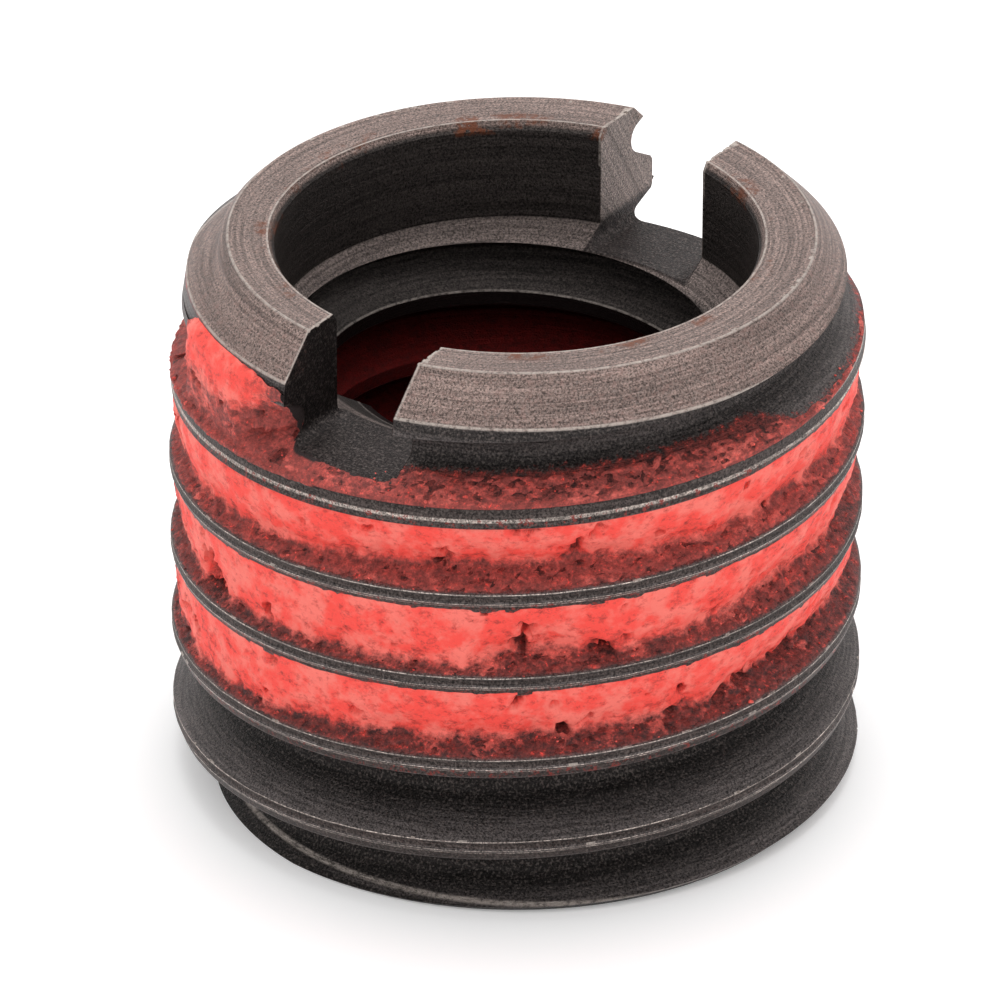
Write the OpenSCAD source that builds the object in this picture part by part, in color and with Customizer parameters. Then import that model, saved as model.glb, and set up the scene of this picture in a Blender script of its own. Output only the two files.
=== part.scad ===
// Solid-wall threaded insert with a drive slot and a band of dried locking compound.
// The axis is Z, the bottom face lies on Z = 0 and the drive slot runs along X.
// Both threads are right-handed: a crest climbs as it goes counter-clockwise seen from above.

/* [Body] */
// Length of the insert from its bottom face to its slotted face
body_length = 15.9; // [14:0.1:20]
// Radial distance from the outer thread's root in to the edge of the flat ring on the slotted face
ring_inset = 0.07; // [0.05:0.01:0.4]
// Depth of the 45 degree chamfer round the slotted end
lead_chamfer = 1.12; // [0.9:0.02:1.2]
// Distance from the slotted face at which the thread reaches its full diameter
lead_length = 3.8; // [3:0.1:4.5]
// Distance of the turned end's axis from the thread's axis
end_offset = 0.2; // [0:0.02:0.25]
// Direction of the turned end's axis, seen from the thread's axis
end_angle = 350; // [0:5:355]
// Width of the 45 degree bevel round the bottom face
foot_bevel = 0.55; // [0.3:0.05:0.9]

/* [Outer thread] */
// Diameter over the outer thread's crests
outer_major_d = 18.9; // [17:0.1:22]
// Axial advance of the outer thread in one turn
outer_pitch = 2.54; // [2.4:0.01:2.7]
// Radial depth of the outer thread
outer_depth = 1.45; // [1.4:0.01:1.47]
// Axial width of the outer thread's crest flat
outer_crest = 0.32; // [0.2:0.01:0.4]
// Angle at which a crest of the outer thread passes through the bottom plane
outer_start = 242; // [0:1:359]

/* [Inner thread] */
// Thickness of the wall between the roots of the two threads
root_wall = 1.55; // [1.2:0.05:2.5]
// Radial depth of the inner thread
inner_depth = 1.15; // [0.9:0.05:1.3]
// Axial advance of the inner thread in one turn
inner_pitch = 1.954; // [1.9:0.001:2.1]
// Axial width of the inner thread's root flat
inner_root = 0.2; // [0.15:0.01:0.3]
// Angle at which a crest of the inner thread passes through the bottom plane
inner_start = 151; // [0:1:359]

/* [Mouth] */
// Radial distance that the smooth counterbore stands outside the inner thread's root
counterbore_step = 0.08; // [0.05:0.01:0.25]
// Depth of the counterbore's straight wall
counterbore_depth = 2.92; // [2.4:0.02:3.6]
// Included angle of the cone that the counterbore ends in
counterbore_cone = 118; // [100:1:130]
// Radial width of the small bevel round the counterbore's mouth
mouth_bevel = 0.17; // [0.05:0.01:0.3]
// Depth of the small bevel round the counterbore's mouth
mouth_bevel_depth = 0.25; // [0.1:0.01:0.4]
// Radial width of the countersink outside the inner thread's root, where it leaves the bottom face
exit_bevel = 0.25; // [0.1:0.05:0.5]

/* [Drive slot] */
// Width of the slot across the slotted face
slot_width = 3.4; // [2.4:0.1:4]
// Depth of the slot below the slotted face, on the axis
slot_depth = 3.25; // [2.5:0.05:4]
// Radius of the fillets along the slot's floor
slot_fillet = 0.4; // [0.2:0.05:0.8]
// Distance of the slot's middle plane from the axis, towards -Y
slot_offset = 0.22; // [0:0.02:0.4]
// Tilt of the slot's floor, upwards towards -X
slot_tilt = 1.3; // [0:0.1:1.5]

/* [Locking compound] */
// Number of turns of groove that the compound fills
compound_turns = 3.45; // [1:0.05:4]
// Share of the groove's depth that the compound climbs under the crest above it
compound_high = 0.93; // [0.8:0.01:0.96]
// Share of the groove's depth that the compound climbs on the crest below it
compound_low = 0.6; // [0.4:0.02:0.8]
// Share that it climbs under the crest above it at its start, where the turned end is narrower
compound_start_high = 0.62; // [0.6:0.01:0.7]
// Number of turns in which it grows from that share to compound_high
compound_growth = 0.4; // [0.3:0.05:0.8]
// Height over which the compound's face hangs straight down under the crest
compound_drop = 0.3; // [0.1:0.05:0.6]
// Height of the step that the compound's lower edge makes on the thread's flank
compound_edge = 0.3; // [0.1:0.05:0.5]

/* [Hidden] */
$fn = 96;

steel = "#4a4644";
compound_red = "#ee5a4e";

// Half of the 60 degree angle between a thread's flanks
flank_half = 30;
// Straight facets in one turn of each thread
outer_steps = 48;
inner_steps = 36;
// Facets in the rounded root of the outer thread
root_steps = 3;
// How far a cutting shape runs past the face that it cuts
past = 1;
// How far the slow lead runs on outside the thread's crests
lead_past = 0.1;

outer_r = outer_major_d / 2;
outer_root_r = outer_r - outer_depth;
inner_root_r = outer_root_r - root_wall;
inner_r = inner_root_r - inner_depth;
counterbore_r = inner_root_r + counterbore_step;
exit_r = inner_root_r + exit_bevel;
ring_r = outer_root_r - ring_inset;
foot_r = outer_r - foot_bevel;
// Radius at which the chamfer of the slotted end gives way to the thread's slow lead
lead_r = ring_r + lead_chamfer;
// Radius of the outer thread's rounded root, which is tangent to both flanks
outer_root_arc = (outer_pitch / 2 - outer_crest / 2 - outer_depth * tan(flank_half)) / tan(flank_half);
// Angle either way from the root's bottom at which the rounded root meets a flank
root_sweep = 90 - flank_half;
// Crest width that is left between two grooves of the inner thread
inner_crest = inner_pitch - inner_root - 2 * inner_depth * tan(flank_half);
// Angle that one facet of the outer thread spans
outer_facet = 360 / outer_steps;
// Angle at which the slot's wall leaves the thread, clockwise of the slot's -X end
slot_wall = 180 - asin((slot_width / 2 - slot_offset) / outer_root_r);
// The compound starts there, at the next edge of the thread's facets, so that its own lie on them
compound_start = outer_start + outer_facet * floor((slot_wall - outer_start) / outer_facet);
// Least depth there of the groove's middle: under the chamfer, and low enough that half a turn on,
// at the slot's other end, the compound still passes under the slot's floor
compound_depth = max(lead_chamfer, slot_depth - outer_pitch / 2 - compound_edge);
compound_top = groove_z_below(body_length - compound_depth, compound_start);

// Height of a groove's middle at an angle, in the last turn that lies below a limit
function groove_z_below(limit, angle) =
    let (first = outer_pitch * ((angle - outer_start) / 360 + 0.5))
    first + outer_pitch * floor((limit - first) / outer_pitch);

// Points [radius, height] of the outer thread over one pitch, upwards from one crest's lower edge
function outer_profile() =
    let (
        arc_r = outer_root_r + outer_root_arc,
        middle = outer_pitch / 2
    )
    concat(
        [[outer_r, -outer_crest / 2], [outer_r, outer_crest / 2]],
        [for (i = [0:root_steps])
            let (a = root_sweep * (2 * i / root_steps - 1))
            [arc_r - outer_root_arc * cos(a), middle + outer_root_arc * sin(a)]]
    );

// Points of the hollow that the inner thread leaves, over one pitch, upwards from one crest's lower edge
function inner_profile() =
    let (flank = inner_depth * tan(flank_half))
    [
        [inner_r, -inner_crest / 2],
        [inner_r, inner_crest / 2],
        [inner_root_r, inner_crest / 2 + flank],
        [inner_root_r, inner_crest / 2 + flank + inner_root]
    ];

// A point of a profile, carried round the axis by an angle and up by a height
function turned(point, angle, rise) =
    [point[0] * cos(angle), point[0] * sin(angle), point[1] + rise];

// A closed threaded rod: each turn of the profile shares its top edge with the next turn up,
// and both ends are closed by a fan of facets to a point on the axis.
module threaded_rod(profile, pitch, start, steps, low, high) {
    rows = len(profile);
    first = floor(low / pitch) * steps;
    last = ceil(high / pitch) * steps;
    sections = last - first;
    edge = (sections + 1) * rows;
    function at(i, j) =
        j < rows && i <= sections ? i * rows + j
        : j == rows ? at(i + steps, 0)
        : edge + i - sections - 1;
    function angle(i) = start + 360 * (i + first) / steps;
    function rise(i) = pitch * (i + first) / steps;
    bottom_centre = edge + steps;
    top_centre = bottom_centre + 1;
    polyhedron(
        points = concat(
            [for (i = [0:sections]) for (p = profile) turned(p, angle(i), rise(i))],
            [for (i = [sections + 1:sections + steps]) turned(profile[0], angle(i), rise(i))],
            [[0, 0, rise(0) + pitch / 2], [0, 0, rise(sections) + pitch / 2]]
        ),
        faces = concat(
            [for (i = [0:sections - 1]) for (j = [0:rows - 1])
                each [
                    [at(i, j), at(i, j + 1), at(i + 1, j + 1)],
                    [at(i, j), at(i + 1, j + 1), at(i + 1, j)]
                ]],
            [for (i = [0:steps - 1]) [bottom_centre, at(i, 0), at(i + 1, 0)]],
            [for (j = [0:rows - 1]) [bottom_centre, at(0, j + 1), at(0, j)]],
            [for (i = [0:steps - 1]) [top_centre, at(sections + i + 1, 0), at(sections + i, 0)]],
            [for (j = [0:rows - 1]) [top_centre, at(sections, j), at(sections, j + 1)]]
        )
    );
}

// A closed bead: a ring of [radius, height] points carried down the helix from one place, which grows
// from its first form to its full one
module helical_bead(first, full, growth, pitch, angle, top, turns, steps) {
    rows = len(full);
    sections = round(turns * steps);
    function at(i, j) = i * rows + j % rows;
    function grown(i, j) = first[j] + (full[j] - first[j]) * min(1, i / (growth * steps));
    polyhedron(
        points = [for (i = [0:sections]) for (j = [0:rows - 1])
            turned(grown(i, j), angle - 360 * i / steps, top - pitch * i / steps)],
        faces = concat(
            [for (i = [0:sections - 1]) for (j = [0:rows - 1])
                each [
                    [at(i, j), at(i, j + 1), at(i + 1, j)],
                    [at(i, j + 1), at(i + 1, j + 1), at(i + 1, j)]
                ]],
            [[for (j = [rows - 1:-1:0]) at(0, j)]],
            [[for (j = [0:rows - 1]) at(sections, j)]]
        )
    );
}

// The turned blank: a bevel round the bottom face, and at the slotted end a chamfer with a slow lead,
// which were turned a little off the thread's axis
module blank() {
    run = outer_r + past;
    lead_end_r = outer_r + lead_past;
    lead_slope = (outer_r - lead_r) / (lead_length - lead_chamfer);
    lead_end = lead_chamfer + (lead_end_r - lead_r) / lead_slope;
    intersection() {
        rotate_extrude()
            polygon([
                [0, 0],
                [foot_r, 0],
                [run, foot_bevel + past],
                [run, body_length + past],
                [0, body_length + past]
            ]);
        translate([end_offset * cos(end_angle), end_offset * sin(end_angle), 0])
            rotate_extrude()
                polygon([
                    [0, -past],
                    [run + past, -past],
                    [run + past, body_length - lead_end - 2 * past],
                    [lead_end_r, body_length - lead_end],
                    [lead_r, body_length - lead_chamfer],
                    [ring_r, body_length],
                    [0, body_length]
                ]);
    }
}

// The counterbore with its mouth bevel and the cone that it ends in
module mouth_cut() {
    floor_z = body_length - counterbore_depth;
    tip_r = inner_r - past;
    cone_depth = (counterbore_r - tip_r) / tan(counterbore_cone / 2);
    translate([0, 0, floor_z - cone_depth])
        cylinder(h = cone_depth, r1 = tip_r, r2 = counterbore_r);
    translate([0, 0, floor_z])
        cylinder(h = counterbore_depth + past, r = counterbore_r);
    translate([0, 0, body_length - mouth_bevel_depth])
        cylinder(h = mouth_bevel_depth, r1 = counterbore_r, r2 = counterbore_r + mouth_bevel);
}

// The 45 degree countersink where the inner thread leaves the bottom face
module exit_cut() {
    translate([0, 0, -past])
        cylinder(h = exit_r, r1 = exit_r + past, r2 = past);
}

// The drive slot, right across the slotted face, with fillets along its floor
module slot_cut() {
    half = slot_width / 2;
    reach = outer_r + past;
    translate([0, -slot_offset, body_length - slot_depth])
        rotate([0, slot_tilt, 0])
            rotate([90, 0, 90])
                linear_extrude(height = 2 * reach, center = true) {
                    translate([-half, slot_fillet])
                        square([slot_width, slot_depth - slot_fillet + past]);
                    translate([-half + slot_fillet, 0])
                        square([slot_width - 2 * slot_fillet, slot_depth]);
                    for (side = [-1, 1])
                        translate([side * (half - slot_fillet), slot_fillet])
                            circle(r = slot_fillet);
                }
}

// The one-piece steel insert
module insert_body() {
    color(steel)
        difference() {
            intersection() {
                threaded_rod(outer_profile(), outer_pitch, outer_start, outer_steps,
                    -outer_pitch, body_length + outer_pitch);
                blank();
            }
            threaded_rod(inner_profile(), inner_pitch, inner_start, inner_steps,
                -inner_pitch, body_length - counterbore_depth - inner_pitch);
            mouth_cut();
            exit_cut();
            slot_cut();
        }
}

// The dried compound, fullest under the crest above it, trimmed where the slot crosses it
module locking_compound() {
    arc_r = outer_root_r + outer_root_arc;
    climb = function (share) max(outer_depth * share, outer_root_arc * (1 - cos(root_sweep)));
    side = function (share) outer_pitch / 2 - outer_crest / 2 - (outer_depth - climb(share)) * tan(flank_half);
    root = [for (i = [0:root_steps])
        let (a = root_sweep * (2 * i / root_steps - 1))
        [arc_r - outer_root_arc * cos(a), outer_root_arc * sin(a)]];
    ring = function (high) concat(root, [
        [outer_root_r + climb(high), side(high)],
        [outer_root_r + climb(high), side(high) - compound_drop],
        [outer_root_r + climb(compound_low), compound_edge - side(compound_low)],
        [outer_root_r + climb(compound_low), -side(compound_low)]
    ]);
    color(compound_red)
        difference() {
            helical_bead(ring(compound_start_high), ring(compound_high), compound_growth, outer_pitch,
                compound_start, compound_top, compound_turns, outer_steps);
            slot_cut();
        }
}

insert_body();
locking_compound();
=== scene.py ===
"""Slotted threaded insert: the steel body and its dried locking compound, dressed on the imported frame.

All sizes in the classes are millimetres in the part's own frame, with the axis on Z and the foot at Z = 0.
Meshes are written in metres.
"""
from __future__ import annotations

import logging
import math
import random
import sys
from collections.abc import Callable
from dataclasses import dataclass, field
from enum import Enum
from functools import partial

import bmesh
import bpy
import numpy as np
from mathutils import Matrix, Vector, noise

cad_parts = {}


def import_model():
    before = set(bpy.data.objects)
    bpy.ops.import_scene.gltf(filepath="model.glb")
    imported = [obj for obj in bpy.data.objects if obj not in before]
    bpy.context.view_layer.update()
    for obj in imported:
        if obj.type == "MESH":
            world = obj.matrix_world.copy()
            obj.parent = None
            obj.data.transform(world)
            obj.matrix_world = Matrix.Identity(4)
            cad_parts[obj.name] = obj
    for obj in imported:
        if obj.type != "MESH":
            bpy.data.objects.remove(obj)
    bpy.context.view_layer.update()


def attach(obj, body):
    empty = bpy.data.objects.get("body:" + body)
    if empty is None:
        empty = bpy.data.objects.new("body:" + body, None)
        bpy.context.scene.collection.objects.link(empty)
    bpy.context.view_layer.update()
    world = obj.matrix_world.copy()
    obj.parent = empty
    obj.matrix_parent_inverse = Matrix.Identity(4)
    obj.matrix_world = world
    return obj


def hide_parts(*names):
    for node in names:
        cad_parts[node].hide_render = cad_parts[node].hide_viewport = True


LOG = logging.getLogger("insert")
MM = 0.001
BODY = "root"
Socket = bpy.types.NodeSocket
Colour = Socket | tuple[float, float, float, float]
# a share from 0 to 1, and the colour that lies over the ones below it there
Layer = tuple[Socket, Colour]
AddNode = Callable[..., Socket]
Outline = tuple[tuple[float, float], ...]
# settings that several nodes share: a soft step, one colour over another, and one colour times another
EASE: dict[str, object] = {"interpolation_type": "SMOOTHSTEP"}
OVER: dict[str, object] = {"data_type": "RGBA", "out": 2}
TIMES: dict[str, object] = {"data_type": "RGBA", "blend_type": "MULTIPLY", "out": 2}


class Node(Enum):
    """The part's nodes, by the names that the frame gives them."""

    STEEL = "insert_body"
    COMPOUND = "locking_compound"


class Slot(Enum):
    """The material slots' names."""

    STEEL = "black_oxide_steel"
    COMPOUND = "dried_locking_compound"


class Cut(Enum):
    """What a second solid does to the one that is being made."""

    KEEP = "INTERSECT"
    REMOVE = "DIFFERENCE"


def linear(code: str) -> tuple[float, float, float, float]:
    """Turn an sRGB hex colour into linear red, green, blue and alpha.

    Args:
        code: the colour as "#rrggbb".

    Returns:
        Linear components, with alpha 1.
    """
    parts = [int(code[i:i + 2], 16) / 255 for i in (1, 3, 5)]
    lin = [c / 12.92 if c <= 0.04045 else ((c + 0.055) / 1.055) ** 2.4 for c in parts]
    return (lin[0], lin[1], lin[2], 1.0)


def add_node(
    tree: bpy.types.NodeTree,
    kind: str,
    inputs: dict[int | str, object] | None = None,
    out: int | str = 0,
    **settings: object,
) -> Socket:
    """Add a node with its settings, socket values and links.

    Args:
        tree: the node tree.
        kind: the node's type without its "ShaderNode" prefix.
        inputs: for each input socket, a value or the output socket that feeds it.
        out: the output that is wanted.
        settings: the node's own properties.

    Returns:
        The output socket; the node and its other outputs are reached through it.
    """
    node = tree.nodes.new("ShaderNode" + kind)
    for name, value in settings.items():
        setattr(node, name, value)
    for socket, value in (inputs or {}).items():
        if isinstance(value, Socket):
            tree.links.new(value, node.inputs[socket])
        else:
            node.inputs[socket].default_value = value
    return node.outputs[out]


def mesh_from(name: str, points: np.ndarray, faces: list[list[int]]) -> bpy.types.Mesh:
    """Make a closed mesh with its normals outwards.

    Args:
        name: the mesh's name.
        points: its points in millimetres.
        faces: its faces as lists of point numbers.

    Returns:
        The mesh, in metres.
    """
    mesh = bpy.data.meshes.new(name)
    mesh.from_pydata((np.asarray(points) * MM).tolist(), [], faces)
    work = bmesh.new()
    work.from_mesh(mesh)
    bmesh.ops.recalc_face_normals(work, faces=work.faces)
    work.to_mesh(mesh)
    work.free()
    return mesh


def put(name: str, mesh: bpy.types.Mesh) -> bpy.types.Object:
    """Link a mesh into the scene as an object at the origin.

    Args:
        name: the object's name.
        mesh: its mesh.

    Returns:
        The object.
    """
    piece = bpy.data.objects.new(name, mesh)
    bpy.context.scene.collection.objects.link(piece)
    return piece


def shape(target: bpy.types.Object, tool: bpy.types.Mesh, cut: Cut) -> None:
    """Cut a solid with another one, and drop the second.

    Args:
        target: the solid that stays, whose mesh is replaced.
        tool: the mesh that cuts it.
        cut: what the tool does.
    """
    cutter = put("cutter", tool)
    step = target.modifiers.new("cut", "BOOLEAN")
    step.operation = cut.value
    step.solver = "MANIFOLD"
    step.object = cutter
    graph = bpy.context.evaluated_depsgraph_get()
    done = bpy.data.meshes.new_from_object(target.evaluated_get(graph))
    target.modifiers.clear()
    old = target.data
    target.data = done
    done.name = old.name
    bpy.data.objects.remove(cutter)
    bpy.data.meshes.remove(tool)
    if not old.users:
        bpy.data.meshes.remove(old)


def finished(work: bmesh.types.BMesh, name: str) -> bpy.types.Mesh:
    """Turn worked geometry into a new mesh and let go of it.

    Args:
        work: the geometry, in metres.
        name: the mesh's name.

    Returns:
        The mesh.
    """
    mesh = bpy.data.meshes.new(name)
    work.to_mesh(mesh)
    work.free()
    return mesh


def threaded_rod(
    profile: np.ndarray, pitch: float, start: float, steps: int, low: float, high: float
) -> tuple[np.ndarray, list[list[int]]]:
    """Work out a closed threaded rod whose turns share their edges.

    Args:
        profile: radius and height over one pitch, upwards from one crest's lower edge.
        pitch: the thread's pitch.
        start: angle in degrees at which the crest stands at height 0.
        steps: sections in one turn.
        low: height that the rod reaches down to.
        high: height that it reaches up to.

    Returns:
        Points and faces.
    """
    rows = len(profile)
    first, last = math.floor(low / pitch) * steps, math.ceil(high / pitch) * steps
    count = last - first
    run = np.arange(count + 1 + steps)
    angle = np.radians(start + 360 * (run + first) / steps)
    rise = pitch * (run + first) / steps
    grid = np.empty((count + 1, rows, 3))
    body = slice(0, count + 1)
    grid[..., 0] = np.outer(np.cos(angle[body]), profile[:, 0])
    grid[..., 1] = np.outer(np.sin(angle[body]), profile[:, 0])
    grid[..., 2] = rise[body, None] + profile[None, :, 1]
    rim = slice(count + 1, count + 1 + steps)
    edge = np.stack(
        [profile[0, 0] * np.cos(angle[rim]), profile[0, 0] * np.sin(angle[rim]), profile[0, 1] + rise[rim]], 1
    )
    middle = np.array([[0, 0, rise[0] + pitch / 2], [0, 0, rise[count] + pitch / 2]])
    points = np.concatenate([grid.reshape(-1, 3), edge, middle])
    lower = np.concatenate([np.arange(count + 1) * rows, (count + 1) * rows + np.arange(steps)])
    at = np.empty((count + 1, rows + 1), int)
    at[:, :rows] = np.arange((count + 1) * rows).reshape(count + 1, rows)
    at[:, rows] = lower[np.arange(count + 1) + steps]
    quads = np.stack([at[:-1, :-1], at[1:, :-1], at[1:, 1:], at[:-1, 1:]], -1).reshape(-1, 4)
    faces = quads.tolist()
    foot, head = len(points) - 2, len(points) - 1
    faces += [[foot, int(lower[i + 1]), int(lower[i])] for i in range(steps)]
    faces += [[foot, int(at[0, j]), int(at[0, j + 1])] for j in range(rows)]
    faces += [[head, int(lower[count + i]), int(lower[count + i + 1])] for i in range(steps)]
    faces += [[head, int(at[count, j + 1]), int(at[count, j])] for j in range(rows)]
    return points, faces


def revolved(profile: list[tuple[float, float]], steps: int) -> tuple[np.ndarray, list[list[int]]]:
    """Work out a turned solid from the outline of half its section.

    Args:
        profile: radius and height, from a point on the axis to another one on it.
        steps: sections in the round.

    Returns:
        Points and faces.
    """
    rim = np.array(profile[1:-1])
    angle = np.linspace(0, 2 * math.pi, steps, endpoint=False)
    grid = np.empty((steps, len(rim), 3))
    grid[..., 0] = np.outer(np.cos(angle), rim[:, 0])
    grid[..., 1] = np.outer(np.sin(angle), rim[:, 0])
    grid[..., 2] = rim[None, :, 1]
    points = np.concatenate([grid.reshape(-1, 3), [[0, 0, profile[0][1]], [0, 0, profile[-1][1]]]])
    rows = len(rim)
    foot, head = len(points) - 2, len(points) - 1
    faces = []
    for i in range(steps):
        a, b = i * rows, ((i + 1) % steps) * rows
        faces += [[a + j, b + j, b + j + 1, a + j + 1] for j in range(rows - 1)]
        faces += [[foot, b, a], [head, a + rows - 1, b + rows - 1]]
    return points, faces


def rounded(corners: list[tuple[float, float, float]], segments: int) -> list[tuple[float, float]]:
    """Round the corners of an open outline.

    Args:
        corners: each corner's two coordinates and its radius, which is 0 for a sharp one.
        segments: segments in each rounding.

    Returns:
        The outline's points.
    """
    out: list[tuple[float, float]] = []
    for k, (x, y, radius) in enumerate(corners):
        if not radius or k in (0, len(corners) - 1):
            out.append((x, y))
            continue
        here = Vector((x, y))
        before = (Vector(corners[k - 1][:2]) - here).normalized()
        after = (Vector(corners[k + 1][:2]) - here).normalized()
        turn = before.angle(after)
        reach = radius / math.tan(turn / 2)
        start, end = here + before * reach, here + after * reach
        for s in range(segments + 1):
            f = s / segments
            out.append(tuple((start * (1 - f) + here * f).lerp(here * (1 - f) + end * f, f)))
    return out


@dataclass(frozen=True)
class Thread:
    """A screw thread's pitch, phase and place of its crest."""

    pitch: float
    start: float
    steps: int

    def rise(self, angle: float) -> float:
        """Give the height of the lowest crest above the foot at an angle in degrees."""
        return self.pitch * (((angle - self.start) / 360) % 1)


@dataclass(frozen=True)
class OuterThread(Thread):
    """The coarse outside thread, with its rolled crest lips and rounded root."""

    pitch: float = 2.54
    start: float = 242.0
    steps: int = 240
    crest_r: float = 9.45
    crest: float = 0.32
    depth: float = 1.45
    # the cutter left a hollow crest between two lips, and a shoulder under the lower one
    lip: float = 0.045
    shoulder_r: float = 9.34
    shoulder: float = 0.29
    flank: float = math.radians(30)

    @property
    def root_r(self) -> float:
        """Radius at the bottom of the groove."""
        return self.crest_r - self.depth

    @property
    def root_arc(self) -> float:
        """Radius of the rounded root, tangent to both flanks."""
        side = self.pitch / 2 - self.crest / 2 - self.depth * math.tan(self.flank)
        return side / math.tan(self.flank)

    def profile(self) -> np.ndarray:
        """Give radius and height over one pitch, upwards from a crest's lower edge.

        Returns:
            Rows of radius and height.
        """
        half, mid, arc = self.crest / 2, self.pitch / 2, self.root_arc
        top = self.crest_r
        rows = [
            (top - 0.03, -half - 0.02), (top - 0.004, -half + 0.01), (top, -half + 0.035),
            (top - self.lip * 0.7, -half + 0.08), (top - self.lip, -0.02), (top - self.lip, 0.02),
            (top - self.lip * 0.7, half - 0.08), (top, half - 0.035), (top - 0.004, half - 0.01),
            (top - 0.035, half + 0.02),
        ]
        centre, sweep = self.root_r + arc, math.pi / 2 - self.flank
        flank_r, flank_z = centre - arc * math.cos(sweep), mid - arc * math.sin(sweep)
        for f in (0.18, 0.38, 0.6, 0.82):
            r, z = top - 0.035 + (flank_r - top + 0.035) * f, half + 0.02 + (flank_z - half - 0.02) * f
            rows.append((r, z))
        for k in range(9):
            a = sweep * (k / 4 - 1)
            rows.append((centre - arc * math.cos(a), mid + arc * math.sin(a)))
        under_r, under_z = self.shoulder_r, self.pitch - half - self.shoulder
        low_r, low_z = rows[-1]
        for f in (0.35, 0.7):
            rows.append((low_r + (under_r - low_r) * f, low_z + (under_z - low_z) * f))
        rows += [
            (under_r - 0.03, under_z - 0.015), (under_r, under_z + 0.03), (top - 0.06, self.pitch - half - 0.06),
        ]
        return np.array(rows)


@dataclass(frozen=True)
class InnerThread(Thread):
    """The finer thread in the bore, as the hollow that it leaves."""

    pitch: float = 1.954
    start: float = 151.0
    steps: int = 180
    crest_r: float = 5.3
    root_r: float = 6.45
    root: float = 0.2
    flank: float = math.radians(30)

    def profile(self) -> np.ndarray:
        """Give radius and height over one pitch, upwards from a crest's lower edge.

        Returns:
            Rows of radius and height.
        """
        run = (self.root_r - self.crest_r) * math.tan(self.flank)
        half = (self.pitch - self.root - 2 * run) / 2
        rows = [
            (self.crest_r + 0.03, -half - 0.01), (self.crest_r, -half + 0.03), (self.crest_r + 0.015, 0),
            (self.crest_r, half - 0.03), (self.crest_r + 0.03, half + 0.01),
        ]
        for f in (0.25, 0.5, 0.75, 0.97):
            rows.append((self.crest_r + (self.root_r - self.crest_r) * f, half + run * f))
        rows.append((self.root_r, half + run + self.root / 2))
        for f in (0.97, 0.75, 0.5, 0.25):
            rows.append((self.crest_r + (self.root_r - self.crest_r) * f, half + run * (2 - f) + self.root))
        return np.array(rows)


@dataclass(frozen=True)
class DriveSlot:
    """The screwdriver slot across the slotted face."""

    width: float = 3.4
    depth: float = 3.25
    fillet: float = 0.4
    offset: float = 0.22
    tilt: float = math.radians(1.3)
    reach: float = 11.0

    def mesh(self, top: float, more: float = 0.0) -> bpy.types.Mesh:
        """Make the milled space.

        Args:
            top: height of the slotted face.
            more: distance that it is made larger by on each side.

        Returns:
            The closed mesh.
        """
        half, up, fillet = self.width / 2 + more, self.depth + 2, self.fillet + more
        outline = rounded([(-half, up, 0), (-half, -more, fillet), (half, -more, fillet), (half, up, 0)], 8)
        move = Matrix.Translation((0, -self.offset, top - self.depth)) @ Matrix.Rotation(self.tilt, 4, "Y")
        points = [move @ Vector((x, y, z)) for x in (-self.reach, self.reach) for y, z in outline]
        n = len(outline)
        faces = [[i, (i + 1) % n, n + (i + 1) % n, n + i] for i in range(n)]
        faces += [list(range(n)), list(range(2 * n - 1, n - 1, -1))]
        return mesh_from("slot", np.array([tuple(p) for p in points]), faces)


@dataclass(frozen=True)
class TurnedEnd:
    """The slotted end, turned a little off the thread's axis: a ring, a chamfer and a slow lead."""

    ring_r: float = 7.93
    chamfer: float = 1.12
    lead: float = 3.8
    lead_r: float = 9.05
    offset: float = 0.2
    angle: float = math.radians(350)

    @property
    def centre(self) -> tuple[float, float, float]:
        """The turning centre."""
        return (self.offset * math.cos(self.angle), self.offset * math.sin(self.angle), 0.0)

    def solid(self, top: float, crest_r: float) -> bpy.types.Mesh:
        """Make the turned outline as a solid.

        Args:
            top: height of the slotted face.
            crest_r: radius of the thread's crest.

        Returns:
            The closed mesh.
        """
        low = top - self.chamfer
        slope = (crest_r - self.lead_r) / (self.lead - self.chamfer)
        far = 0.1
        outline = rounded(
            [
                (0, -1, 0), (12, -1, 0), (12, top - self.lead - 3, 0),
                (crest_r + far, top - self.lead - far / slope, 0.3),
                (self.lead_r, low, 0.04), (self.ring_r, top, 0.04), (self.ring_r - 0.1, top - 0.006, 0),
                (0, top, 0),
            ],
            4,
        )
        points, faces = revolved(outline, 256)
        return mesh_from("end", points + np.array(self.centre), faces)


@dataclass(frozen=True)
class SteelFields:
    """What the layers of the steel's finish read, as shader sockets in millimetres, radians and turns."""

    # places, with the distances from the turned end's own axis and from the middle of the slot
    mm: Socket
    x: Socket
    y: Socket
    z: Socket
    angle: Socket
    radius: Socket
    from_end: Socket
    off_slot: Socket
    # turns counted up the outer thread, and the height over the middle of the nearest crest
    wound: Socket
    above: Socket
    # zones, which are 1 inside and 0 elsewhere
    upper: Socket
    outside: Socket
    threads: Socket
    inside: Socket
    slotted: Socket
    unmilled: Socket
    # patterns: cutting lines, broad patches, oxide crystals, specks, and how far rubbed places are bare
    lines: Socket
    broad: Socket
    grain: Socket
    speck: Socket
    rub: Socket


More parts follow.
